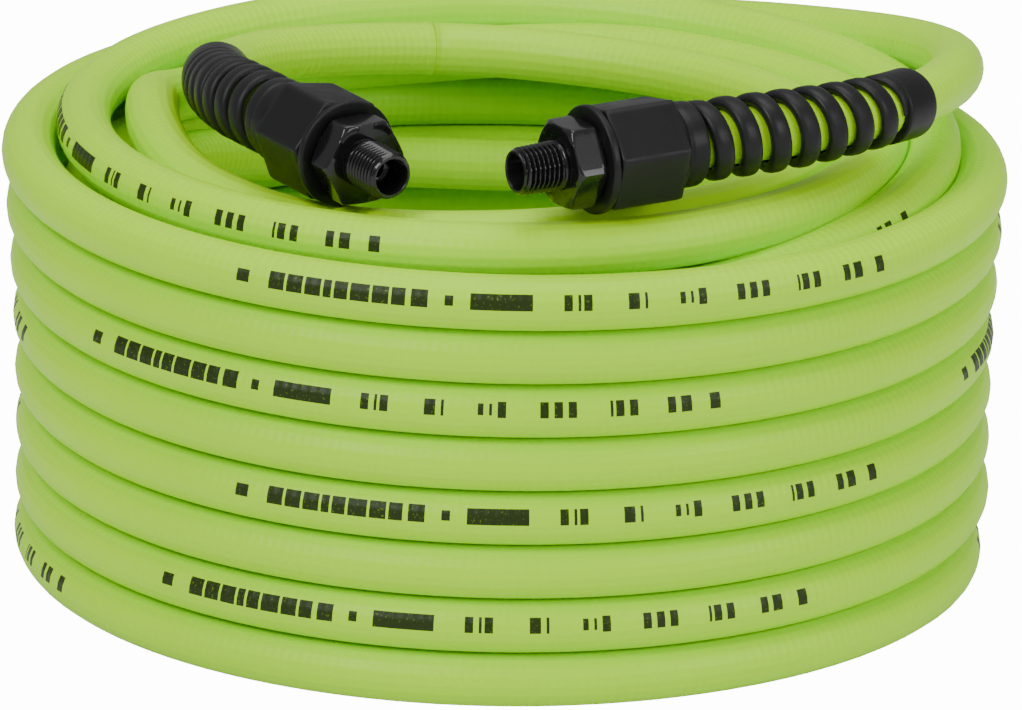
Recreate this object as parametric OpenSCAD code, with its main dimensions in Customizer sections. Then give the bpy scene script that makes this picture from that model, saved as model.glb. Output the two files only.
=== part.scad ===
// Coiled air hose: 15 m of 3/8 inch bore hose wound into a coil, with a 1/4 inch
// pipe-thread end fitting, a crimped ferrule and a moulded bend restrictor on each end.
// Millimetres. Z is the coil's axis and points up. The coil stands on z = 0.

/* [Hose] */
// Outside diameter of the hose
hose_od = 15; // [14.8:0.1:15.1]
// Bore of the hose
hose_bore = 9.5; // [9.3:0.1:9.7]
// Thickness of the woven braid inside the wall
braid_t = 0.5; // [0.4:0.1:0.7]
// Thickness of the inner tube of the wall
liner_t = 1.2; // [1:0.1:1.4]

/* [Coil] */
// Height from one turn of the outer layer to the next
turn_pitch = 15.3; // [15.2:0.05:15.4]
// Height of the inner layers' highest turn inside the coil
inner_top = 97; // [95:0.5:98]
// Radius of the second layer of turns
second_r = 114; // [113:0.5:115]
// Radius of the innermost layer of turns
inner_r = 99; // [98:0.5:100]

/* [End fittings] */
// Outside diameter of the pipe thread
stud_d = 13.7; // [13.4:0.1:13.9]
// Length of the threaded stud
stud_len = 13; // [12:0.5:14]
// Width of the hexagon across its flats
hex_af = 22.2; // [21:0.1:23]
// Length of the hexagon that shows
hex_len = 9; // [8.5:0.5:9.5]
// Diameter of the air way through the fitting
air_d = 7; // [6:0.1:7.5]
// Diameter of the wide mouth of the air way, at the tip of the stud
mouth_d = 9.8; // [9:0.1:9.8]
// Length of the barbed stem inside the hose
stem_len = 22; // [20:1:23]
// Outside diameter of the crimped ferrule
ferrule_od = 18.6; // [18:0.1:19]

/* [Bend restrictors] */
// Length of the moulded grip sleeve
sleeve_len = 25.5; // [25:0.5:26.5]
// Diameter of the sleeve's round rim
rim_d = 29.6; // [29.2:0.1:29.8]
// Width of the sleeve across its six flats
sleeve_af = 27; // [26:0.5:27.5]
// Diameter of the neck behind the sleeve
neck_d = 23.4; // [23:0.1:24]
// Length of the open spiral
spiral_len = 65.5; // [64.5:0.5:66.5]
// Turns in the open spiral
spiral_turns = 7.75; // [7:0.25:7.75]
// Outside diameter of the spiral beside the neck
spiral_big_d = 22.4; // [22:0.1:23]
// Outside diameter of the end ring
ring_d = 19.7; // [19.5:0.1:20]
// Length of the end ring
ring_len = 11.5; // [11:0.5:12]

/* [Hidden] */

hose_r = hose_od / 2;
// the top run is drawn a little slimmer, because its turns squeeze one another where they cross
run_r = hose_r - 0.6;
// the solid coil's foot: the soft turns flatten a little on the floor
foot_spread = 1.5;
outer_turns = 8;
inner_turns = 6;
inner_bottom = 23.7;
// how far the coil's solid core stands inside the middle of the outer turns, and how thick its top edge is
core_inset = 1;
core_rim = 3;
// air between the hose and the moulding round it
slack = 0.1;

// barbs of the stem, and its plain root beside the hexagon
barbs = 4;
barb_height = 0.35;
barb_edge = 0.2;
stem_root = 4;
// how far the stud and the stem run into the hexagon
weld = 0.5;

// places along a fitting's axis, measured back from the tip of the stud
hex_end = stud_len + hex_len;
sleeve_end = hex_end + sleeve_len;
rim_len = 2.8;
crimp_start = hex_end + 2;
crimp_end = hex_end + stem_len + 2;
neck_len = 6.5;
mouth_len = 9;
// the sleeve's corners are cut round at this radius, and its back end slopes to the neck over taper_len
corner_r = 15.3;
taper_len = 2;
// angles of the flats round the axis: the nut's, then the sleeve's on each end
nut_turn = 30;
sleeve_turn_a = 19;
sleeve_turn_b = 39;
// how far the spiral's two ends run into the neck and the end ring
wire_root = 1.5;

// every wall is round and smooth above 12 sides
round_fn = 48;
tube_sides = 10;
wire_sides = 6;
wire_steps = 12;
ring_step = 20;
run_start = 103;
run_end = -797;

// the top run of the hose, from end B's tail into the coil: [angle, radius, height]
TOP = [[103, 96, 118.5], [75, 92, 117], [47, 89, 117.5], [20, 88, 119.5], [-10, 89, 122],
       [-40, 93, 123.5], [-65, 98, 124], [-90, 99.5, 122.5], [-128, 99.5, 120], [-150, 98.8, 122],
       [-170, 98, 126], [-184, 98.5, 127], [-196, 101, 122.5], [-207, 104, 117.5], [-221, 107, 114],
       [-238, 109.5, 112.2], [-257, 110.2, 112], [-272, 108.8, 114], [-285, 107.3, 116],
       [-313, 105, 117.5], [-340, 104, 120], [-360, 104, 122], [-385, 105.5, 123],
       [-410, 110, 123.5], [-435, 114.5, 124], [-460, 116, 124], [-510, 116.5, 124.2],
       [-535, 117, 124.5], [-560, 118.3, 124.5], [-590, 119.8, 124], [-620, 120.3, 123.8],
       [-660, 120.3, 122.8], [-695, 119.6, 121.3], [-720, 118.6, 120], [-750, 117.6, 115],
       [-780, 117, 109.5], [-810, 116.6, 104.7]];
TOP_R = [for (s = TOP) [s[0], s[1]]];
TOP_Z = [for (s = TOP) [s[0], s[2]]];

// end A: tip of its stud, then the hose from inside the sleeve round the loop into the coil
TIP_A = [2.5, -120, 147.2];
ROUTE_A = [[34.8, -101.4, 147.6], [55.7, -89.4, 147.9], [76.4, -77.6, 147.6], [95.6, -62.5, 147.1],
           [110.6, -43.2, 145.6], [119.3, -21.1, 143.3], [124, 2.1, 140.3], [124.8, 24.3, 137],
           [121.9, 46.3, 133.2], [110.2, 76.4, 127.6], [91.3, 99.9, 123], [64.7, 119, 119.3],
           [38, 128.5, 116.8], [12, 132, 115.2]];
STEP_A = 25;
HINGE_A = 6;
LAST_A = 13;

// end B: the same, as far as the start of the top run
TIP_B = [-30.3, -108.5, 141.8];
ROUTE_B = [[-50.3, -77.8, 142.8], [-63.2, -58, 143.4], [-72.2, -38.8, 142], [-77.8, -18.3, 139],
           [-80.3, 2.5, 135.6], [-79.8, 20.6, 132.4], [-75.9, 38.8, 129.6], [-67.5, 55.9, 126.8],
           [-55, 70.5, 124], [-39, 84, 121], [-21.6, 93.5, 118.5]];
STEP_B = 21;
HINGE_B = 5;
LAST_B = 10;

// share of a route step left open on each side of the place where the hose bends
bend_gap = 0.13;
// width of the spiral's wire on each end: end A's spiral is drawn open, end B's is packed
wire_w_a = 5.8;
wire_w_b = 6.4;
// share of the spiral's length where its taper starts
taper_at = 0.4;

hose_green = [0.62, 0.85, 0.12];
black = [0.07, 0.07, 0.08];
steel = [0.7, 0.7, 0.68];
white = [0.9, 0.9, 0.88];

// radius of the outer layer: it swells a little towards the top
function turn_r(t) = 129.3 - 0.69 * t + 0.139 * t * t;

function unit(v) = v / norm(v);
function polar(s) = [s[1] * cos(s[0]), s[1] * sin(s[0]), s[2]];
function run_at(a) = polar([a, lookup(a, TOP_R), lookup(a, TOP_Z)]);

// smooth curve through a route's points; s counts points
function curve(a, b, c, d, u) =
    0.5 * (2 * b + (c - a) * u + (2 * a - 5 * b + 4 * c - d) * u * u + (3 * b - a - 3 * c + d) * u * u * u);
function place(route, s) =
    let (n = len(route) - 1, i = min(floor(s), n - 1),
         before = i > 0 ? route[i - 1] : 2 * route[0] - route[1],
         after = i < n - 1 ? route[i + 2] : 2 * route[n] - route[n - 1])
    curve(before, route[i], route[i + 1], after, s - i);
function heading(route, s) =
    let (n = len(route) - 1)
    unit(place(route, min(n, s + 0.1)) - place(route, max(0, s - 0.1)));

function side_of(t) = unit(cross(t, [0, 0, 1]));
function up_of(t) = cross(side_of(t), t);

// one closed tube through the given centres
module sweep(centres, r, sides) {
    n = len(centres);
    dirs = [for (i = [0:n - 1]) unit(centres[min(n - 1, i + 1)] - centres[max(0, i - 1)])];
    rings = [for (i = [0:n - 1], j = [0:sides - 1])
        centres[i] + r * (cos(360 * j / sides) * side_of(dirs[i]) + sin(360 * j / sides) * up_of(dirs[i]))];
    skin(rings, n, sides);
}

// closed skin over that many rings of points
module skin(points, rings, sides) {
    walls = [for (i = [0:rings - 2], j = [0:sides - 1], part = [0, 1])
        let (a = i * sides + j, b = i * sides + (j + 1) % sides, c = a + sides, d = b + sides)
        part == 0 ? [a, b, d] : [a, d, c]];
    start = [for (j = [sides - 1:-1:0]) j];
    end = [for (j = [0:sides - 1]) (rings - 1) * sides + j];
    polyhedron(points, concat(walls, [start, end]), convexity = 10);
}

// stretch of hose between two places on a route
module hose_stretch(route, from, to, steps) {
    sweep([for (i = [0:steps]) place(route, from + (to - from) * i / steps)], hose_r, tube_sides);
}

// puts a shape drawn along +Z from the origin at p, pointing towards q
module aim(p, q) {
    d = q - p;
    translate(p) rotate([0, acos(d[2] / norm(d)), atan2(d[1], d[0])]) children();
}

module pipe(r_out, r_in, from, to) {
    translate([0, 0, from]) rotate_extrude($fn = round_fn)
        translate([r_in, 0]) square([r_out - r_in, to - from]);
}

// ---- the coil and the loose runs on it ----

module hose_coil() {
    top_turn = outer_turns - 1;
    foot = turn_r(0) + foot_spread - 0.3;
    core = turn_r(0) - core_inset;
    top = hose_r + turn_pitch * top_turn;
    color(hose_green) rotate_extrude($fn = round_fn) {
        for (k = [0:top_turn])
            translate([turn_r(k + 0.5), hose_r + turn_pitch * k]) circle(r = hose_r, $fn = round_fn);
        for (k = [0:inner_turns - 1])
            translate([inner_r, inner_bottom + (inner_top - inner_bottom) * k / (inner_turns - 1)])
                circle(r = hose_r, $fn = round_fn);
        translate([second_r, inner_top]) circle(r = hose_r, $fn = round_fn);
        translate([second_r, hose_r]) circle(r = hose_r, $fn = round_fn);
        polygon([[second_r - foot_spread, 0], [foot, 0], [foot, hose_r], [core, hose_r], [core, top],
                 [core - core_rim, top], [core - core_rim, inner_top], [inner_r, inner_top],
                 [inner_r, inner_bottom], [second_r - foot_spread, inner_bottom]]);
    }
}

module hose_top_run() {
    color(hose_green)
        sweep([for (a = [run_start:-ring_step:run_end]) run_at(a)], run_r, tube_sides);
}

module hose_loop_a() {
    color(hose_green) hose_stretch(ROUTE_A, HINGE_A + bend_gap, LAST_A, 12);
}

module hose_tail_b() {
    color(hose_green) hose_stretch(ROUTE_B, HINGE_B + bend_gap, LAST_B, 6);
}

// ---- one end, drawn along +Z from the tip of its stud ----

module fitting() {
    color(steel) difference() {
        union() {
            cylinder(r = stud_d / 2, h = stud_len + weld, $fn = round_fn);
            translate([0, 0, stud_len]) rotate([0, 0, nut_turn])
                cylinder(r = hex_af / 2 / cos(30), h = hex_len, $fn = 6);
            translate([0, 0, hex_end]) rotate_extrude($fn = round_fn) polygon(stem_outline());
        }
        translate([0, 0, -1]) cylinder(r = air_d / 2, h = hex_end + stem_len + 2, $fn = round_fn);
        translate([0, 0, -1]) cylinder(r = mouth_d / 2, h = mouth_len + 1, $fn = round_fn);
    }
}

// half section of the barbed stem: a plain root, then barbs that ramp up towards the hexagon
function stem_outline() =
    let (root = hose_bore / 2, barb = root + barb_height, pitch = (stem_len - stem_root) / barbs)
    concat([[0, -weld], [root, -weld], [root, stem_root]],
           [for (i = [0:barbs - 1], p = [0, 1])
               p == 0 ? [barb, stem_root + i * pitch + barb_edge] : [root, stem_root + (i + 1) * pitch]],
           [[0, stem_len]]);

module ferrule() {
    lip = crimp_start - hex_end - slack;
    color(steel) union() {
        pipe(ferrule_od / 2, hose_r, crimp_start, crimp_end);
        // inner lip that hooks behind the hexagon
        pipe(ferrule_od / 2, hose_bore / 2 + slack, crimp_start - lip, crimp_start);
    }
}

module cover_in_crimp() {
    pipe(hose_r, hose_bore / 2 + liner_t + braid_t, crimp_start, crimp_end + 1);
}

module hose_braid() {
    r = hose_bore / 2 + liner_t;
    color(white) pipe(r + braid_t, r, crimp_start, crimp_end);
}

module hose_liner() {
    r = hose_bore / 2;
    color(black) pipe(r + liner_t, r, crimp_start, crimp_end);
}

module grip_sleeve(turn) {
    flats_end = sleeve_end - taper_len;
    difference() {
        union() {
            translate([0, 0, hex_end]) cylinder(r = rim_d / 2, h = rim_len, $fn = round_fn);
            // the six flats, with their corners cut round
            intersection() {
                translate([0, 0, hex_end + rim_len / 2])
                    cylinder(r = corner_r, h = flats_end - hex_end - rim_len / 2, $fn = round_fn);
                translate([0, 0, hex_end]) rotate([0, 0, turn])
                    cylinder(r = sleeve_af / 2 / cos(30), h = sleeve_len, $fn = 6);
            }
            translate([0, 0, flats_end])
                cylinder(r1 = sleeve_af / 2, r2 = neck_d / 2, h = taper_len, $fn = round_fn);
            translate([0, 0, sleeve_end]) cylinder(r = neck_d / 2, h = neck_len, $fn = round_fn);
        }
        translate([0, 0, hex_end - 1])
            cylinder(r = ferrule_od / 2, h = crimp_end - hex_end + 1, $fn = round_fn);
        translate([0, 0, hex_end])
            cylinder(r = hose_r + slack, h = sleeve_len + neck_len + 1, $fn = round_fn);
    }
}

// distance from the route's second point to the end of the neck
function neck_end(tip, route) = sleeve_end + neck_len - norm(route[1] - tip);

// wire of the spiral, wound round the hose along its route
module spiral(tip, route, step, wire_w) {
    n = spiral_turns * wire_steps;
    first = neck_end(tip, route) - wire_root;
    s = [for (i = [0:n]) 1 + (first + (spiral_len + 2 * wire_root) * i / n) / step];
    mid = [for (i = [0:n]) place(route, s[i])];
    fwd = [for (i = [0:n]) heading(route, s[i])];
    // the first part of the spiral is straight, the rest tapers to the end ring
    out_r = [for (i = [0:n])
        let (share = max(0, i / n - taper_at) / (1 - taper_at))
        spiral_big_d / 2 + (ring_d - spiral_big_d) / 2 * share];
    in_r = hose_r + slack;
    radial = [for (i = [0:n])
        let (a = 360 * i / wire_steps)
        -sin(a) * side_of(fwd[i]) - cos(a) * up_of(fwd[i])];
    rings = [for (i = [0:n], j = [0:wire_sides - 1])
        let (a = 360 * (j + 0.5) / wire_sides, thick = (out_r[i] - in_r) / 2)
        mid[i] + radial[i] * (in_r + thick + thick * sin(a)) - fwd[i] * (wire_w / 2) * cos(a) / cos(30)];
    skin(rings, n + 1, wire_sides);
}

module restrictor(tip, route, step, wire_w, turn) {
    ring_s = 1 + (neck_end(tip, route) + spiral_len) / step;
    color(black) {
        aim(tip, route[1]) grip_sleeve(turn);
        spiral(tip, route, step, wire_w);
        aim(place(route, ring_s), place(route, ring_s) + heading(route, ring_s + ring_len / 2 / step))
            pipe(ring_d / 2, hose_r + slack, 0, ring_len);
    }
}

module cover(tip, route, hinge) {
    from = (crimp_end + 0.5 - norm(route[0] - tip)) / norm(route[1] - route[0]);
    color(hose_green) {
        aim(tip, route[1]) cover_in_crimp();
        hose_stretch(route, from, hinge - bend_gap, 12);
    }
}

// ---- end A ----

module fitting_a() {
    aim(TIP_A, ROUTE_A[1]) fitting();
}

module ferrule_a() {
    aim(TIP_A, ROUTE_A[1]) ferrule();
}

module bend_restrictor_a() {
    restrictor(TIP_A, ROUTE_A, STEP_A, wire_w_a, sleeve_turn_a);
}

module hose_cover_a() {
    cover(TIP_A, ROUTE_A, HINGE_A);
}

module hose_braid_a() {
    aim(TIP_A, ROUTE_A[1]) hose_braid();
}

module hose_liner_a() {
    aim(TIP_A, ROUTE_A[1]) hose_liner();
}

// ---- end B ----

module fitting_b() {
    aim(TIP_B, ROUTE_B[1]) fitting();
}

module ferrule_b() {
    aim(TIP_B, ROUTE_B[1]) ferrule();
}

module bend_restrictor_b() {
    restrictor(TIP_B, ROUTE_B, STEP_B, wire_w_b, sleeve_turn_b);
}

module hose_cover_b() {
    cover(TIP_B, ROUTE_B, HINGE_B);
}

module hose_braid_b() {
    aim(TIP_B, ROUTE_B[1]) hose_braid();
}

module hose_liner_b() {
    aim(TIP_B, ROUTE_B[1]) hose_liner();
}

hose_coil();
hose_top_run();
hose_loop_a();
hose_tail_b();
fitting_a();
ferrule_a();
bend_restrictor_a();
hose_cover_a();
hose_braid_a();
hose_liner_a();
fitting_b();
ferrule_b();
bend_restrictor_b();
hose_cover_b();
hose_braid_b();
hose_liner_b();
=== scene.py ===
import math
import bmesh
import bpy
import numpy as np
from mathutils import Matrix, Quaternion, Vector


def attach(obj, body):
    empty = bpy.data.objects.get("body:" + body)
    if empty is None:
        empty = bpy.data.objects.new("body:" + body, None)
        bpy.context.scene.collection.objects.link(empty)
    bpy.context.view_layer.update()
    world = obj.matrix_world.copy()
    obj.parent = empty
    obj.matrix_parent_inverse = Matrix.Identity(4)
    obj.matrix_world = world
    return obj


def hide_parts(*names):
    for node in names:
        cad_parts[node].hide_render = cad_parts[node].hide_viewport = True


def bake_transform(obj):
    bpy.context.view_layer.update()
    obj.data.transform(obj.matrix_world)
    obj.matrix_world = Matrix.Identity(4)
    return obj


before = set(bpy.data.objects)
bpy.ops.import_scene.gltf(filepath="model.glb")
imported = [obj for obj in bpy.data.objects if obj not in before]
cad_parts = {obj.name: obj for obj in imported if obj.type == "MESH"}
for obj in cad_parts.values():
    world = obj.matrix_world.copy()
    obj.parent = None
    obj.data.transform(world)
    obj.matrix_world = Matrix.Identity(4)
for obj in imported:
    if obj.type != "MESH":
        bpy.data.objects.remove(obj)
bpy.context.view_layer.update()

MM = 0.001

# ------------------------------------------------------------------ sizes, in millimetres
HOSE_R, HOSE_SIDES = 7.5, 24
COIL_STEP, END_STEP = 5.0, 2.5   # from one row of the hose's skin to the next
PITCH = 15.3          # outer layer, turn to turn
LEVEL = 16.2          # inner layers, level to level
COLUMN = 15.2         # between the two inner columns
OUTER_TURNS = 8.0
INNER_TURNS = 9.5
STEP_SHARE = 0.18     # share of a turn in which the hose steps up at the back
LEAN_PER_TURN = 0.1   # how much of the climb is spread round the whole turn, more on each turn
OUT_AT, OUT_OVER = 0.05, 0.28   # shares of the first turn where it comes out from the inner layers
BACK_DIP = 0.072      # how far the inner layers sink at the back, as a share of their height
STUD_R, STUD_LEN = 6.85, 13.0
THREAD_PITCH = 25.4 / 18
THREAD_TAPER = 32     # a pipe thread's radius grows 1 in 32; this one is drawn at 0.9 of that
HEX_AF, HEX_END = 22.2, 22.0
AIR_R, MOUTH_R, MOUTH_LEN, STEM_END, STEM_R = 3.5, 4.9, 9.0, 44.0, 4.6
SLEEVE_END, NECK_LEN = 47.5, 6.5
RIM_R, RIM_LEN, SLEEVE_AF, CORNER_R, NECK_R = 14.8, 2.8, 27.0, 15.3, 11.7
SPIRAL_LEN, SPIRAL_TURNS, WIRE_ROOT, TAPER_AT = 65.5, 7.75, 1.5, 0.4
SPIRAL_R0, RING_R, RING_LEN = 11.2, 9.85, 11.5
GUARD_BORE = HOSE_R + 0.15    # radius inside the restrictor, clear of the hose
FITTING_SIDES, GUARD_SIDES, WIRE_SIDES, WIRE_STEPS = 96, 144, 14, 40

# route points, the same as in part.scad; TOP's are (angle, radius, height)
TOP = [(103, 96, 118.5), (75, 92, 117), (47, 89, 117.5), (20, 88, 119.5), (-10, 89, 122),
       (-40, 93, 123.5), (-65, 98, 124), (-90, 99.5, 122.5), (-128, 99.5, 120), (-150, 98.8, 122),
       (-170, 98, 126), (-184, 98.5, 127), (-196, 101, 122.5), (-207, 104, 117.5), (-221, 107, 114),
       (-238, 109.5, 112.2), (-257, 110.2, 112), (-272, 108.8, 114), (-285, 107.3, 116),
       (-313, 105, 117.5), (-340, 104, 120), (-360, 104, 122), (-385, 105.5, 123),
       (-410, 110, 123.5), (-435, 114.5, 124), (-460, 116, 124), (-510, 116.5, 124.2),
       (-535, 117, 124.5), (-560, 118.3, 124.5), (-590, 119.8, 124), (-620, 120.3, 123.8),
       (-660, 120.3, 122.8), (-695, 119.6, 121.3), (-720, 118.6, 120), (-750, 117.6, 115),
       (-780, 117, 109.5), (-810, 116.6, 104.7)]
TIP_A, TIP_B = (2.5, -120, 147.2), (-30.3, -108.5, 141.8)
ROUTE_A = [(34.8, -101.4, 147.6), (55.7, -89.4, 147.9), (76.4, -77.6, 147.6), (95.6, -62.5, 147.1),
           (110.6, -43.2, 145.6), (119.3, -21.1, 143.3), (124, 2.1, 140.3), (124.8, 24.3, 137),
           (121.9, 46.3, 133.2), (110.2, 76.4, 127.6), (91.3, 99.9, 123), (64.7, 119, 119.3)]
ROUTE_B = [(-50.3, -77.8, 142.8), (-63.2, -58, 143.4), (-72.2, -38.8, 142), (-77.8, -18.3, 139),
           (-80.3, 2.5, 135.6), (-79.8, 20.6, 132.4), (-75.9, 38.8, 129.6), (-67.5, 55.9, 126.8),
           (-55, 70.5, 124), (-39, 84, 121)]

# ------------------------------------------------------------------ routes


def ease(x):
    """0 to 1 with a soft start and end."""
    x = min(1.0, max(0.0, x))
    return x * x * (3 - 2 * x)


def polar(angle, radius, height):
    """A point at that angle in degrees round the coil's axis."""
    a = math.radians(angle)
    return (radius * math.cos(a), radius * math.sin(a), height)


def outer_radius(t):
    """Radius of the outer layer after t turns, as in part.scad."""
    return 129.3 - 0.69 * t + 0.139 * t * t


def outer_point(t):
    """Outer layer, t turns from the back, clockwise seen from above, climbing."""
    turn, share = math.floor(t), t - math.floor(t)
    at_back = max(0.0, math.cos(2 * math.pi * share)) ** 2
    step = 0.0 if t < 1 else (turn - 1) + ease(share / STEP_SHARE)
    lean = t - 0.5 - 0.5 * at_back
    spread = LEAN_PER_TURN * max(0.0, t - 0.5)
    r = outer_radius(t) - PITCH * (1 - ease((t - OUT_AT) / OUT_OVER))
    return polar(90 - 360 * t, r, HOSE_R + PITCH * ((1 - spread) * step + spread * lean))


# the inner turns go down in cycles of three: (turns, column, level)
CYCLE = [(0.5, 0, 0), (1.0, 0, 0), (1.25, 1, 0), (1.75, 1, 0), (2.0, 1, 1), (2.5, 1, 1),
         (2.75, 0, 1), (3.25, 0, 1), (3.5, 0, 2)]


def inner_point(u):
    """Inner layers, u turns from the front of their top level, clockwise and down."""
    cycle = min(3, int(u // 3))
    v = u - 3 * cycle + 0.5
    column = level = 0.0
    if cycle < 3:
        for (s0, c0, l0), (s1, c1, l1) in zip(CYCLE[:-1], CYCLE[1:]):
            if s0 <= v <= s1:
                break
        f = ease((v - s0) / (s1 - s0))
        column, level = c0 + (c1 - c0) * f, l0 + (l1 - l0) * f
    height = 6 - 2 * cycle - level
    dip = BACK_DIP * max(0.0, math.cos(2 * math.pi * v)) ** 2
    z = HOSE_R + LEVEL * height * (1 - dip)
    r = outer_radius(0.5 + (z - HOSE_R) / PITCH) - PITCH - COLUMN * column
    return polar(90 - 360 * v, r, z)


def smooth(points, per, by_first=False):
    """A smooth curve through the points, with a step of about `per` on the chord, or in the first column."""
    p = np.array(points, float)
    n = len(p)
    gaps = np.abs(np.diff(p[:, 0])) if by_first else np.linalg.norm(np.diff(p, axis=0), axis=1)
    slopes = np.zeros_like(p)
    for i in range(n):
        if i == 0:
            slopes[i] = (p[1] - p[0]) / gaps[0]
        elif i == n - 1:
            slopes[i] = (p[-1] - p[-2]) / gaps[-1]
        else:
            a, b = gaps[i - 1], gaps[i]
            slopes[i] = ((p[i] - p[i - 1]) / a * b + (p[i + 1] - p[i]) / b * a) / (a + b)
    out = []
    for i in range(n - 1):
        h = gaps[i]
        steps = max(1, round(h / per))
        for u in np.arange(steps) / steps:
            out.append((2 * u**3 - 3 * u**2 + 1) * p[i] + (u**3 - 2 * u**2 + u) * h * slopes[i]
                       + (3 * u**2 - 2 * u**3) * p[i + 1] + (u**3 - u**2) * h * slopes[i + 1])
    out.append(p[-1])
    return np.array(out)


def run(points):
    """How far along a line each of its points is."""
    return np.r_[0, np.cumsum(np.linalg.norm(np.diff(points, axis=0), axis=1))]


def even(points, step):
    """The same line with its points a fixed step apart."""
    p = np.array(points, float)
    s = run(p)
    at = np.linspace(0, s[-1], max(2, int(round(s[-1] / step)) + 1))
    return np.c_[np.interp(at, s, p[:, 0]), np.interp(at, s, p[:, 1]), np.interp(at, s, p[:, 2])]


def up_to(line, point):
    """The line as far as its row nearest the point."""
    return line[:int(np.argmin(np.linalg.norm(line - np.array(point), axis=1))) + 1]


def length(points):
    """A line's whole length."""
    return float(np.linalg.norm(np.diff(points, axis=0), axis=1).sum())


TURN_STEPS, TOP_STEP = 90, 4   # points in a turn of the layers, and degrees between points of the top run
top_line = np.array([polar(*s) for s in smooth(TOP, TOP_STEP, by_first=True)])
inner_line = np.array([inner_point(u) for u in np.arange(1, INNER_TURNS * TURN_STEPS + 1) / TURN_STEPS])
outer_line = np.array([outer_point(t) for t in np.arange(1, OUTER_TURNS * TURN_STEPS + 1) / TURN_STEPS])
coil_line = even(np.vstack([top_line, inner_line, outer_line]), COIL_STEP)
# each end runs on one point into the coil, for its direction there, and is then cut at the coil
outer_end, past_end = outer_point(OUTER_TURNS), outer_point(OUTER_TURNS - 0.04)
end_a_line = up_to(smooth(ROUTE_A + [outer_end, past_end], END_STEP), outer_end)
end_b_line = up_to(smooth(ROUTE_B + [polar(*TOP[0]), polar(*TOP[1])], END_STEP), polar(*TOP[0]))

# ------------------------------------------------------------------ mesh makers


def frames(centres):
    """Directions along a line, level across it and up from it, at each of its points."""
    c = np.asarray(centres, float)
    t = np.gradient(c, axis=0)
    t /= np.linalg.norm(t, axis=1)[:, None]
    out = np.cross([0.0, 0.0, 1.0], t)
    out /= np.linalg.norm(out, axis=1)[:, None]
    return t, out, np.cross(t, out)


def angles(sides):
    """The angles of that many equal steps round."""
    return np.arange(sides) / sides * 2 * math.pi


def grid_mesh(name, points, uv, loop=False):
    """A skin over rows of points, in millimetres; each row is a ring, and the ends are capped or meet."""
    rows, cols = points.shape[:2]
    spans = rows if loop else rows - 1
    r, c = np.meshgrid(np.arange(spans), np.arange(cols), indexing="ij")
    n, r2 = (c + 1) % cols, (r + 1) % rows
    quads = np.stack([r * cols + c, r * cols + n, r2 * cols + n, r2 * cols + c], -1).reshape(-1, 4)
    faces = quads.tolist()
    if not loop:
        faces += [list(range(cols))[::-1], [(rows - 1) * cols + j for j in range(cols)]]
    mesh = bpy.data.meshes.new(name)
    mesh.from_pydata((points.reshape(-1, 3) * MM).tolist(), [], faces)
    layer = mesh.uv_layers.new(name="HoseUV")
    along, around = uv
    cells = np.stack([np.stack([along[r], along[r], along[r + 1], along[r + 1]], -1),
                      np.stack([around[c], around[c + 1], around[c + 1], around[c]], -1)], -1).reshape(-1, 2)
    flat = np.zeros((len(mesh.loops), 2))
    flat[:len(cells)] = cells
    layer.data.foreach_set("uv", flat.ravel())
    mesh.update()
    shell = bmesh.new()
    shell.from_mesh(mesh)
    if shell.calc_volume(signed=True) < 0:
        bmesh.ops.reverse_faces(shell, faces=shell.faces)
        shell.to_mesh(mesh)
    shell.free()
    mesh.shade_smooth()
    for cap in mesh.polygons[len(quads):]:
        cap.use_smooth = False
    obj = bpy.data.objects.new(name, mesh)
    bpy.context.scene.collection.objects.link(obj)
    return obj


def hose(name, centres, start=0.0, blank=False, before=None, after=None):
    """A stretch of hose; its UVs are metres along the hose, and once round it from the outside.

    A blank stretch has the second UV one turn on, out of the print's reach. The hose's next points before
    and after the stretch turn its end faces, so that two stretches meet face to face.
    """
    c = np.asarray(centres, float)
    whole = [p for p in (before, *c, after) if p is not None]
    first = 0 if before is None else 1
    t, out, up = (v[first:first + len(c)] for v in frames(whole))
    a = angles(HOSE_SIDES)
    ring = out[:, None] * np.cos(a)[None, :, None] + up[:, None] * np.sin(a)[None, :, None]
    points = c[:, None] + ring * HOSE_R
    along = start + run(c) * MM
    return grid_mesh(name, points, (along, np.arange(HOSE_SIDES + 1) / HOSE_SIDES + blank))


def axis_frame(tip, towards):
    """Two directions across the axis from tip, and the axis itself."""
    z = Vector(towards) - Vector(tip)
    z.normalize()
    x = z.cross(Vector((0, 0, 1))).normalized()
    return np.array(x), np.array(z.cross(x)), np.array(z)


def lathe_points(tip, towards, profile, sides, shape):
    """Rows of points round the axis from tip; profile has (distance back, radius), shape bends a radius."""
    x, y, z = axis_frame(tip, towards)
    a = angles(sides)
    spokes = np.cos(a)[:, None] * x + np.sin(a)[:, None] * y
    return np.array([np.array(tip) + s * z + shape(s, r, a)[:, None] * spokes for s, r in profile])


def row_uv(profile, sides):
    """UVs for a closed profile: metres along it, and once round."""
    return run(np.array(profile + profile[:1], float)) * MM, np.arange(sides + 1) / sides


def hexagon(a, flat, softness, turn=0.0):
    """Radius of a hexagon with that half width across flats, its corners rounded a little."""
    k = np.arange(6) * math.pi / 3 + math.pi / 6 + math.radians(turn)
    reach = np.clip(np.cos(a[:, None] - k[None]), 0, None) ** softness
    return flat / reach.sum(1) ** (1 / softness)


def bridge(a, b, n):
    """n equal steps on a straight line."""
    return [tuple(np.array(a) + (np.array(b) - np.array(a)) * i / n) for i in range(n)]


def fillet(cx, cy, r, start, stop, n=6):
    """Points on an arc in the profile plane."""
    return [(cx + r * math.cos(math.radians(start + (stop - start) * i / n)),
             cy + r * math.sin(math.radians(start + (stop - start) * i / n))) for i in range(n + 1)]


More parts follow.
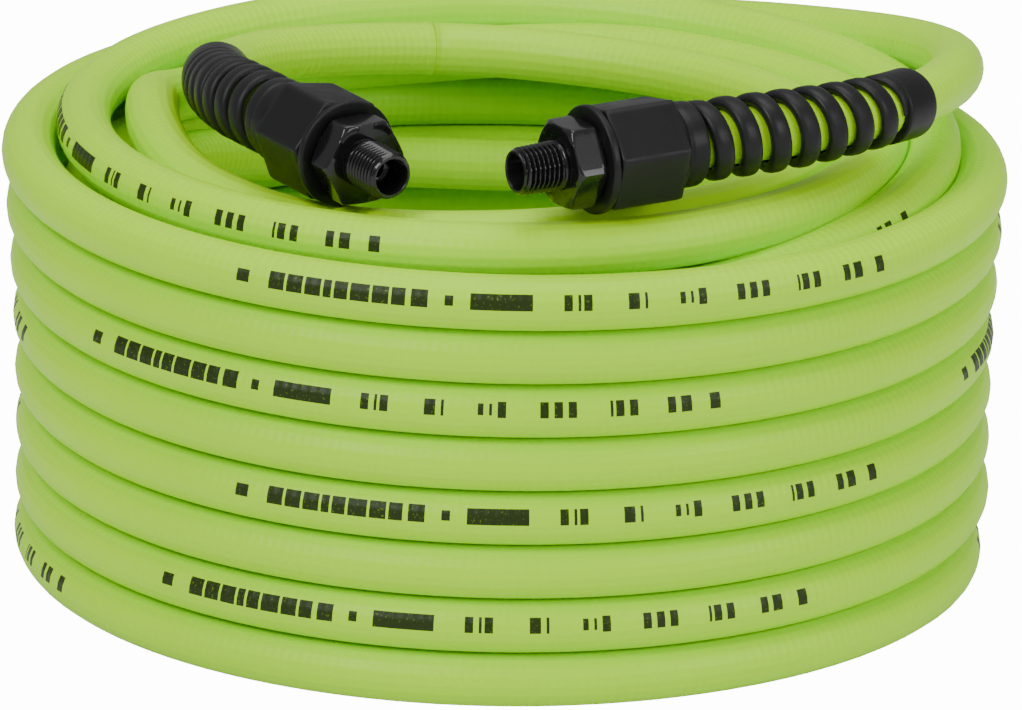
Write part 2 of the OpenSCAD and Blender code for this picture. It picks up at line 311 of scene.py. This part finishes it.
def join(name, objects):
    """The objects as one, under that name."""
    bpy.ops.object.select_all(action="DESELECT")
    for o in objects:
        o.select_set(True)
    bpy.context.view_layer.objects.active = objects[0]
    bpy.ops.object.join()
    objects[0].name = objects[0].data.name = name
    return objects[0]


# ------------------------------------------------------------------ pieces


def make_fitting(name, tip, towards):
    """Tapered pipe thread, chamfered hexagon and the air way, as one lathe skin."""
    depth = 0.8 * THREAD_PITCH
    soft_edge = 6      # the higher, the crisper the hexagon's chamfer

    def shape(s, r, a):
        if 0.0 <= s < STUD_LEN and r > MOUTH_R + 0.4:
            # thread: its crests taper, it fades out before the hexagon, and its first turn leans in
            crest = STUD_R - (STUD_LEN - s) / THREAD_TAPER * 0.9
            turn = (s / THREAD_PITCH + a / (2 * math.pi)) % 1.0
            tooth = np.clip(1.25 * np.abs(2 * turn - 1) - 0.12, 0, 1)
            runout = ease((STUD_LEN - 0.6 - s) / 1.2)
            lead = 0.5 + 0.5 * ease(s / 1.4)
            radius = crest - depth * (1 - tooth) * runout
            return np.minimum(radius, crest - depth * (1 - lead) * 1.4)
        if STUD_LEN + 0.01 <= s <= HEX_END and r > STUD_R + 1:
            # hexagon: the flats, cut by the profile's cone
            flats = hexagon(a, HEX_AF / 2, 90)
            return -np.log(np.exp(-soft_edge * flats) + np.exp(-soft_edge * r)) / soft_edge
        return np.full(len(a), r)

    profile = [(STEM_END, AIR_R), (30, AIR_R), (MOUTH_LEN + 0.6, AIR_R), (MOUTH_LEN, MOUTH_R - 0.3)]
    profile += [(MOUTH_LEN - 0.4, MOUTH_R), (0.25, MOUTH_R), (0.0, MOUTH_R + 0.15), (0.0, MOUTH_R + 0.3)]
    profile += [(s, STUD_R) for s in np.arange(0.0, STUD_LEN - 0.05, THREAD_PITCH / 10)]
    profile += [(STUD_LEN, STUD_R - 0.5), (STUD_LEN, 9.4)]
    cone_top = HEX_AF / 2 / math.cos(math.pi / 6)
    profile += [(STUD_LEN + 0.02, 11.2), (STUD_LEN + 0.25, 11.7), (STUD_LEN + 0.5, 12.1)]
    profile += [(STUD_LEN + 0.8, 12.6), (STUD_LEN + 1.1, cone_top + 0.3), (STUD_LEN + 1.6, cone_top + 1.2)]
    profile += bridge((STUD_LEN + 2.6, cone_top + 2), (HEX_END - 2.4, cone_top + 2), 5)
    profile += [(HEX_END - 2.2, cone_top + 1.6), (HEX_END - 1.6, cone_top + 0.9), (HEX_END - 1.0, 12.3)]
    profile += [(HEX_END - 0.6, 11.6), (HEX_END - 0.25, 10.9), (HEX_END - 0.05, 10.4)]
    profile += [(HEX_END - 0.05, 9.0), (HEX_END + 0.4, 6.5), (HEX_END + 1.5, STEM_R), (STEM_END, STEM_R)]
    points = lathe_points(tip, towards, profile, FITTING_SIDES, shape)
    obj = grid_mesh(name, points, row_uv(profile, FITTING_SIDES), loop=True)
    obj.data.set_sharp_from_angle(angle=math.radians(38))
    return obj


def make_grip(name, tip, towards, turn):
    """Rim, grip sleeve with six flats, and neck; the flats are turned by that many degrees."""
    flat_from, flat_to = HEX_END + RIM_LEN, SLEEVE_END - 1.6
    neck_end = SLEEVE_END + NECK_LEN

    def shape(s, r, a):
        if flat_from - 0.1 < s < flat_to + 0.1 and r > NECK_R + 1:
            return np.minimum(hexagon(a, SLEEVE_AF / 2, 160, turn), CORNER_R) - (RIM_R - r)
        return np.full(len(a), r)

    profile = [(HEX_END + 3.0, 9.8), (HEX_END + 0.6, 9.8), (HEX_END + 0.2, 10.2)]
    profile += [(HEX_END + 0.2, RIM_R - 0.9)] + fillet(HEX_END + 0.8, RIM_R - 0.6, 0.6, 180, 90)
    profile += fillet(flat_from - 0.9, RIM_R - 0.4, 0.4, 90, 20, 4)
    profile += [(flat_from - 0.45, RIM_R - 1.2), (flat_from - 0.2, RIM_R - 1.35), (flat_from, RIM_R - 0.7)]
    profile += [(flat_from + 0.15, RIM_R - 0.25)]
    profile += bridge((flat_from + 0.6, RIM_R), (flat_to - 0.7, RIM_R), 30)
    profile += [(flat_to - 0.25, RIM_R - 0.15), (flat_to, RIM_R - 0.6), (flat_to + 0.3, 13.0)]
    profile += [(SLEEVE_END - 0.3, NECK_R + 0.5), (SLEEVE_END, NECK_R + 0.1)]
    profile += [(SLEEVE_END + 0.3, NECK_R - 0.25), (SLEEVE_END + 0.8, NECK_R - 0.3)]
    profile += [(SLEEVE_END + 1.3, NECK_R - 0.1)]
    profile += bridge((SLEEVE_END + 1.8, NECK_R), (neck_end - 1.2, NECK_R - 0.05), 4)
    profile += fillet(neck_end - 1.0, NECK_R - 1.1, 1.0, 90, 0)
    profile += [(neck_end, GUARD_BORE), (HEX_END + 24.5, GUARD_BORE), (HEX_END + 24.2, 9.3)]
    points = lathe_points(tip, towards, profile, GUARD_SIDES, shape)
    return grid_mesh(name + "_grip", points, row_uv(profile, GUARD_SIDES), loop=True)


def make_wire(name, at, start, wire_w):
    """The open spiral, wound on the hose's own line; its ends run into the neck and the end ring."""
    n = int(SPIRAL_TURNS * WIRE_STEPS)
    f = np.arange(n + 1) / n
    mid, fwd, side, rise = at(start - WIRE_ROOT + (SPIRAL_LEN + 2 * WIRE_ROOT) * f)
    angle = 2 * math.pi * f * SPIRAL_TURNS - math.pi / 2
    radial = side * np.cos(angle)[:, None] + rise * np.sin(angle)[:, None]
    outer = SPIRAL_R0 + (RING_R - SPIRAL_R0) * np.clip(f - TAPER_AT, 0, None) / (1 - TAPER_AT)
    outer = outer - 1.2 * np.clip((f - 0.98) / 0.02, 0, 1)
    half = (outer - GUARD_BORE) / 2
    a, square = angles(WIRE_SIDES), 0.72    # below 1, the wire's section is squarer than an ellipse
    ca = np.sign(np.cos(a)) * np.abs(np.cos(a)) ** square
    sa = np.sign(np.sin(a)) * np.abs(np.sin(a)) ** square
    points = (mid[:, None] + radial[:, None] * (GUARD_BORE + half)[:, None, None]
              + radial[:, None] * (half[:, None] * sa)[:, :, None]
              + fwd[:, None] * (wire_w / 2 * ca)[None, :, None])
    uv = run(points[:, 0]) * MM, np.arange(WIRE_SIDES + 1) / WIRE_SIDES
    return grid_mesh(name + "_wire", points, uv)


def make_ring(name, at, start):
    """The end ring, with a rounded mouth."""
    profile = [(0.0, GUARD_BORE), (0.0, RING_R - 0.6)] + fillet(0.7, RING_R - 0.7, 0.7, 170, 95, 4)
    profile += bridge((1.4, RING_R), (RING_LEN - 1.2, RING_R), 6)
    profile += fillet(RING_LEN - 0.9, RING_R - 0.9, 0.9, 90, 0, 5)
    profile += [(RING_LEN, GUARD_BORE), (RING_LEN - 1.5, GUARD_BORE)]
    a = angles(GUARD_SIDES)
    rows = []
    for d, r in profile:
        mid, _, side, rise = at(start + d)
        rows.append(mid + r * (np.cos(a)[:, None] * side + np.sin(a)[:, None] * rise))
    return grid_mesh(name + "_ring", np.array(rows), row_uv(profile, GUARD_SIDES), loop=True)


def make_restrictor(name, tip, towards, line, wire_w, turn):
    """One moulded restrictor: grip sleeve, open spiral and end ring."""
    along = run(line)
    tables = (line, *frames(line))

    def at(s):
        """The line's point, direction, side and up, that far along it."""
        return [np.stack([np.interp(s, along, table[:, i]) for i in range(3)], -1) for table in tables]

    # where the neck ends on the line, from the point that both the line and the sleeve's axis pass
    shared = along[np.argmin(np.linalg.norm(line - np.array(towards), axis=1))]
    behind_tip = float(np.linalg.norm(np.array(towards) - np.array(tip)))
    neck_end = shared + SLEEVE_END + NECK_LEN - behind_tip
    obj = join(name, [make_grip(name, tip, towards, turn), make_wire(name, at, neck_end, wire_w),
                      make_ring(name, at, neck_end + SPIRAL_LEN)])
    obj.data.set_sharp_from_angle(angle=math.radians(50))
    return obj


# ------------------------------------------------------------------ materials


def nodes_of(name, color, metallic, roughness):
    """A new material with its node tree and its shader."""
    mat = bpy.data.materials.new(name)
    mat.use_nodes = True
    tree = mat.node_tree
    shader = tree.nodes["Principled BSDF"]
    shader.inputs["Base Color"].default_value = (*color, 1)
    shader.inputs["Metallic"].default_value = metallic
    shader.inputs["Roughness"].default_value = roughness
    return mat, tree, shader


def math_node(tree, kind, *values):
    """Arithmetic of that kind on numbers or other nodes' outputs."""
    n = tree.nodes.new("ShaderNodeMath")
    n.operation = kind
    for i, v in enumerate(values):
        if isinstance(v, (int, float)):
            n.inputs[i].default_value = v
        else:
            tree.links.new(v, n.inputs[i])
    return n.outputs[0]


def ramp_node(tree, fac, stops, mode="LINEAR"):
    """A grey ramp with stops of (position, value)."""
    n = tree.nodes.new("ShaderNodeValToRGB")
    n.color_ramp.interpolation = mode
    while len(n.color_ramp.elements) > 1:
        n.color_ramp.elements.remove(n.color_ramp.elements[-1])
    for i, (pos, value) in enumerate(stops):
        e = n.color_ramp.elements[0] if i == 0 else n.color_ramp.elements.new(pos)
        e.position = pos
        e.color = (value, value, value, 1)
    tree.links.new(fac, n.inputs[0])
    return n.outputs[0]


def noise_node(tree, scale, detail=3.0):
    """Noise in the object's own space."""
    n = tree.nodes.new("ShaderNodeTexNoise")
    n.inputs["Scale"].default_value = scale
    n.inputs["Detail"].default_value = detail
    coords = tree.nodes.new("ShaderNodeTexCoord")
    tree.links.new(coords.outputs["Object"], n.inputs["Vector"])
    return n.outputs["Fac"]


def bump_node(tree, shader, height, distance, strength=1.0, after=None):
    """Bumps of that height, on top of an earlier bump if one is given."""
    n = tree.nodes.new("ShaderNodeBump")
    n.inputs["Strength"].default_value = strength
    n.inputs["Distance"].default_value = distance
    tree.links.new(height, n.inputs["Height"])
    if after is not None:
        tree.links.new(after, n.inputs["Normal"])
    tree.links.new(n.outputs["Normal"], shader.inputs["Normal"])
    return n.outputs["Normal"]


def mix_node(tree, fac, a, b):
    """A colour between a and b."""
    n = tree.nodes.new("ShaderNodeMix")
    n.data_type = "RGBA"
    ins = [s for s in n.inputs if s.type == "RGBA"]
    for sock, v in zip(ins, (a, b)):
        if isinstance(v, tuple):
            sock.default_value = (*v, 1)
        else:
            tree.links.new(v, sock)
    tree.links.new(fac, n.inputs[0])
    return [s for s in n.outputs if s.type == "RGBA"][0]


LIME = (0.46, 0.88, 0.0005)
LIME_DEEP = (0.37, 0.78, 0.0005)
INK = (0.006, 0.009, 0.003)
# the moulded edge colour is wear; the paler plated edge colour is a painted highlight
BLACK, WORN_MOULDED, PLATED_EDGE_HIGHLIGHT = (0.006, 0.006, 0.0065), (0.022, 0.022, 0.023), (0.03, 0.03, 0.032)
BRAID, BRAID_SHADE = (0.86, 0.86, 0.82), (0.66, 0.66, 0.62)
BRAID_LEAD, BRAID_STRANDS = 0.0052, 9   # metres along the hose, and strands round it
# prints come in pairs: metres from pair to pair, and from the first to the second of a pair
PRINT_PAIR, PRINT_SECOND = 1.0885, 0.5031
PRINT_LEN = 0.184      # metres
PRINT_TURN = 7.3664    # a second print starts here on the outer layer
PRINT_AROUND = 0.047   # share of a turn round the hose, above its outer side
# generic print: upright ticks and one solid block, as (start, end, half height), all in millimetres
PRINT_MARKS = [(0, 2.4, 2.2), (8, 10.6, 2.2), (11.8, 14.2, 2.2), (22, 24.2, 2.2), (25.4, 27.6, 2.2),
               (28.8, 29.6, 2.2), (38, 40.2, 2.2), (41.4, 43.6, 2.2), (44.8, 47, 2.2), (56, 58.4, 2.2),
               (59.6, 60.4, 1.6), (61.6, 63, 1.6), (72, 72.8, 2.2), (74, 76.6, 2.2), (86, 88, 2.2),
               (89.2, 90, 2.2), (91.2, 93.2, 2.2), (101, 117, 2.3), (121.5, 123.5, 1.4), (128, 132.4, 2.6),
               (133.4, 137, 2.6), (138, 142, 2.6), (143, 147.6, 2.6), (148.6, 152, 2.6), (153, 155, 2.6),
               (156, 160, 2.6), (161, 165, 2.6), (166, 170.5, 2.6), (176, 179.4, 1.7)]
RAMP_MARKS = 14        # as many marks as one ramp takes
PRINT_SHIFT = 0.5      # millimetres from the ramp's start to the first mark


def hose_material(print_start):
    """Lime cover with the print; print_start is where a pair begins, in metres along the hose."""
    mat, tree, shader = nodes_of("lime_hose", LIME, 0.0, 0.42)
    uv = tree.nodes.new("ShaderNodeUVMap")
    uv.uv_map = "HoseUV"
    split = tree.nodes.new("ShaderNodeSeparateXYZ")
    tree.links.new(uv.outputs[0], split.inputs[0])
    along, around = split.outputs[0], split.outputs[1]
    # braid showing faintly through the cover, as bumps, with painted shade in its dimples
    lead = math_node(tree, "MULTIPLY", along, 2 * math.pi / BRAID_LEAD)
    ring = math_node(tree, "MULTIPLY", around, 2 * math.pi * BRAID_STRANDS)
    one = math_node(tree, "SINE", math_node(tree, "ADD", lead, ring))
    two = math_node(tree, "SINE", math_node(tree, "SUBTRACT", lead, ring))
    braid = math_node(tree, "MULTIPLY", one, two)
    # colour drifts a little along and round the hose
    drift = noise_node(tree, 9.0, 2.0)
    color = mix_node(tree, ramp_node(tree, drift, [(0.35, 0.0), (0.65, 0.35)]), LIME, LIME_DEEP)
    # painted shade: where the braid's bump is low, the lime is painted a little deeper
    dimple_shade = ramp_node(tree, math_node(tree, "MULTIPLY_ADD", braid, 0.5, 0.5), [(0.0, 0.10), (0.6, 0.0)])
    color = mix_node(tree, dimple_shade, color, LIME_DEEP)
    # print: each ramp holds the half height of its marks, as a share of 10 mm
    from_start = math_node(tree, "SUBTRACT", along, print_start)
    cell = math_node(tree, "FRACT", math_node(tree, "MULTIPLY", from_start, 1 / PRINT_PAIR))
    second = math_node(tree, "GREATER_THAN", cell, PRINT_SECOND / PRINT_PAIR)
    cell = math_node(tree, "SUBTRACT", cell, math_node(tree, "MULTIPLY", second, PRINT_SECOND / PRINT_PAIR))
    cell = math_node(tree, "MULTIPLY", cell, PRINT_PAIR / PRINT_LEN)
    span, tall = PRINT_LEN * 1000, None
    for part in (PRINT_MARKS[:RAMP_MARKS], PRINT_MARKS[RAMP_MARKS:]):
        stops = [(0.0, 0.0)]
        for a, b, half in part:
            stops += [((a + PRINT_SHIFT) / span, half / 10), ((b + PRINT_SHIFT) / span, 0.0)]
        ramp = ramp_node(tree, cell, stops, "CONSTANT")
        tall = ramp if tall is None else math_node(tree, "MAXIMUM", tall, ramp)
    off = math_node(tree, "ABSOLUTE", math_node(tree, "SUBTRACT", around, PRINT_AROUND))
    off = math_node(tree, "MULTIPLY", off, 2 * math.pi * HOSE_R / 10)
    ink = math_node(tree, "LESS_THAN", off, tall)
    worn = ramp_node(tree, noise_node(tree, 1500.0, 2.0), [(0.28, 0.80), (0.38, 0.97)])
    color = mix_node(tree, math_node(tree, "MULTIPLY", ink, worn), color, INK)
    tree.links.new(color, shader.inputs["Base Color"])
    grain = noise_node(tree, 1800.0, 3.0)
    sheen = ramp_node(tree, noise_node(tree, 60.0), [(0.3, 0.38), (0.7, 0.47)])
    tree.links.new(sheen, shader.inputs["Roughness"])
    first = bump_node(tree, shader, braid, 0.00022, 0.35)
    bump_node(tree, shader, grain, 0.00006, 0.3, first)
    shader.inputs["Specular IOR Level"].default_value = 0.22
    return mat


def moulded_material():
    """Black moulding, a little paler on its edges."""
    mat, tree, shader = nodes_of("moulded_black", BLACK, 0.0, 0.5)
    fine = noise_node(tree, 2600.0, 4.0)
    broad = noise_node(tree, 90.0, 3.0)
    tree.links.new(ramp_node(tree, broad, [(0.3, 0.36), (0.7, 0.52)]), shader.inputs["Roughness"])
    geo = tree.nodes.new("ShaderNodeNewGeometry")
    edge = ramp_node(tree, geo.outputs["Pointiness"], [(0.50, 0.0), (0.58, 0.45)])
    tree.links.new(mix_node(tree, edge, BLACK, WORN_MOULDED), shader.inputs["Base Color"])
    bump_node(tree, shader, fine, 0.00008, 0.35)
    shader.inputs["Specular IOR Level"].default_value = 0.24
    return mat


def plated_material():
    """Glossy black plating, with a painted highlight on its edges."""
    mat, tree, shader = nodes_of("black_plated", BLACK, 0.0, 0.2)
    geo = tree.nodes.new("ShaderNodeNewGeometry")
    # painted highlight: edges, found by pointiness, are painted paler than the black
    edge = ramp_node(tree, geo.outputs["Pointiness"], [(0.52, 0.0), (0.62, 1.0)])
    scratch = noise_node(tree, 400.0, 4.0)
    tree.links.new(mix_node(tree, edge, BLACK, PLATED_EDGE_HIGHLIGHT), shader.inputs["Base Color"])
    tree.links.new(ramp_node(tree, scratch, [(0.3, 0.16), (0.7, 0.30)]), shader.inputs["Roughness"])
    bump_node(tree, shader, scratch, 0.00003, 0.25)
    shader.inputs["Specular IOR Level"].default_value = 0.2
    shader.inputs["Coat Weight"].default_value = 0.45
    shader.inputs["Coat Roughness"].default_value = 0.04
    return mat


def ferrule_material():
    """Bare crimped metal."""
    mat, tree, shader = nodes_of("crimped_metal", (0.72, 0.72, 0.73), 1.0, 0.32)
    lines = noise_node(tree, 900.0, 2.0)
    tree.links.new(ramp_node(tree, lines, [(0.3, 0.25), (0.7, 0.42)]), shader.inputs["Roughness"])
    bump_node(tree, shader, lines, 0.00003, 0.4)
    return mat


def braid_material():
    """Woven braid in the wall."""
    mat, tree, shader = nodes_of("woven_braid", BRAID, 0.0, 0.75)
    weave = tree.nodes.new("ShaderNodeTexChecker")
    weave.inputs["Scale"].default_value = 900.0
    coords = tree.nodes.new("ShaderNodeTexCoord")
    tree.links.new(coords.outputs["Object"], weave.inputs["Vector"])
    tree.links.new(mix_node(tree, weave.outputs["Fac"], BRAID, BRAID_SHADE), shader.inputs["Base Color"])
    bump_node(tree, shader, weave.outputs["Fac"], 0.0002, 0.6)
    return mat


def liner_material():
    """Dark inner tube."""
    mat, tree, shader = nodes_of("inner_tube", (0.08, 0.08, 0.085), 0.0, 0.55)
    grain = noise_node(tree, 1200.0, 3.0)
    tree.links.new(ramp_node(tree, grain, [(0.3, 0.5), (0.7, 0.62)]), shader.inputs["Roughness"])
    bump_node(tree, shader, grain, 0.00005, 0.4)
    return mat


coil_start = length(end_b_line) * MM
end_a_start = coil_start + length(coil_line) * MM
print_at = coil_start + length(up_to(coil_line, outer_point(PRINT_TURN))) * MM
LOOKS = {"hose_cover": hose_material(print_at - PRINT_SECOND),
         "moulded_black": moulded_material(), "fitting_metal": plated_material(),
         "ferrule_metal": ferrule_material(), "braid": braid_material(), "liner": liner_material()}


def dress(obj, slot_name):
    """That slot's material, in place of the object's own."""
    obj.data.materials.clear()
    obj.data.materials.append(LOOKS[slot_name])


# ------------------------------------------------------------------ camera

TARGET = Vector((2.1, 0, 57.3)) * MM
DISTANCE, ELEVATION, ROLL, FOCAL = 3.0, math.radians(17.93), math.radians(0.78), 379.0
camera_data = bpy.data.cameras.new("camera")
camera_data.lens = FOCAL
camera_data.sensor_width = 36.0
camera = bpy.data.objects.new("camera", camera_data)
bpy.context.scene.collection.objects.link(camera)
camera.location = TARGET + DISTANCE * Vector((0, -math.cos(ELEVATION), math.sin(ELEVATION)))
aim_at = (TARGET - camera.location).to_track_quat("-Z", "Y")
camera.rotation_euler = (aim_at @ Quaternion((0, 0, 1), ROLL)).to_euler()
bpy.context.scene.camera = camera

# ------------------------------------------------------------------ the hose

coil = hose("hose_main", coil_line, coil_start, before=end_b_line[-2], after=end_a_line[-2])
tail_b = hose("hose_end_b", end_b_line, blank=True, after=coil_line[1])
tail_a = hose("hose_end_a", end_a_line[::-1], end_a_start, blank=True, before=coil_line[-2])
for piece in (coil, tail_a, tail_b):
    dress(piece, "hose_cover")
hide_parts("hose_coil", "hose_top_run")
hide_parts("hose_loop_a", "hose_cover_a")
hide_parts("hose_tail_b", "hose_cover_b")
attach(coil, "coil")
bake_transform(tail_a)
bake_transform(tail_b)

# ------------------------------------------------------------------ the ends

# wire is the width of the spiral's wire, and turn the degrees that the sleeve's flats are turned
for end, tip, route, line, wire, turn in (("a", TIP_A, ROUTE_A, end_a_line, 5.9, -10.8),
                                          ("b", TIP_B, ROUTE_B, end_b_line, 6.5, 9.0)):
    body = "end_" + end
    fitting = make_fitting("fitting_end_" + end, tip, route[1])
    dress(fitting, "fitting_metal")
    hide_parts("fitting_" + end)
    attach(fitting, body)
    guard = make_restrictor("restrictor_end_" + end, tip, route[1], line, wire, turn)
    dress(guard, "moulded_black")
    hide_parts("bend_restrictor_" + end)
    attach(guard, body)
    for node, look in (("ferrule_", "ferrule_metal"), ("hose_braid_", "braid"), ("hose_liner_", "liner")):
        dress(bpy.data.objects[node + end], look)

# ------------------------------------------------------------------ stage and light


def plane(name, size, z, color, strength=None):
    """A level square of the stage, which glows if a strength is given."""
    mesh = bpy.data.meshes.new(name)
    h = size / 2
    mesh.from_pydata([(-h, -h, z), (h, -h, z), (h, h, z), (-h, h, z)], [], [(0, 1, 2, 3)])
    obj = bpy.data.objects.new(name, mesh)
    bpy.context.scene.collection.objects.link(obj)
    mat, _, shader = nodes_of(name, color, 0.0, 0.9)
    if strength is not None:
        shader.inputs["Emission Color"].default_value = (1, 1, 1, 1)
        shader.inputs["Emission Strength"].default_value = strength
    mesh.materials.append(mat)
    return obj


# a floor that only lights the coil from below, and a white one that only the camera sees
bounce = plane("bounce_floor", 6.0, -0.0006, (0.85, 0.85, 0.85))
bounce.visible_camera = False
white = plane("white_sweep", 40.0, -0.004, (1, 1, 1), 14.0)
white.visible_diffuse = white.visible_glossy = white.visible_shadow = False

world = bpy.data.worlds.new("studio")
world.use_nodes = True
world.node_tree.nodes["Background"].inputs[0].default_value = (1, 1, 1, 1)
world.node_tree.nodes["Background"].inputs[1].default_value = 0.37
bpy.context.scene.world = world


def softbox(name, place, size, power, aim=(0, 0, 0.07)):
    """A rectangular light, in metres and watts, aimed at the coil."""
    light = bpy.data.lights.new(name, "AREA")
    light.shape = "RECTANGLE"
    light.size, light.size_y = size
    light.energy = power
    obj = bpy.data.objects.new(name, light)
    obj.location = place
    obj.rotation_euler = (Vector(aim) - Vector(place)).to_track_quat("-Z", "Y").to_euler()
    bpy.context.scene.collection.objects.link(obj)


softbox("key", (-0.9, -1.2, 1.5), (0.9, 0.9), 24)
softbox("top", (0.1, 0.1, 1.6), (1.2, 1.2), 14)
softbox("fill", (1.3, -1.0, 0.8), (0.9, 0.7), 11)
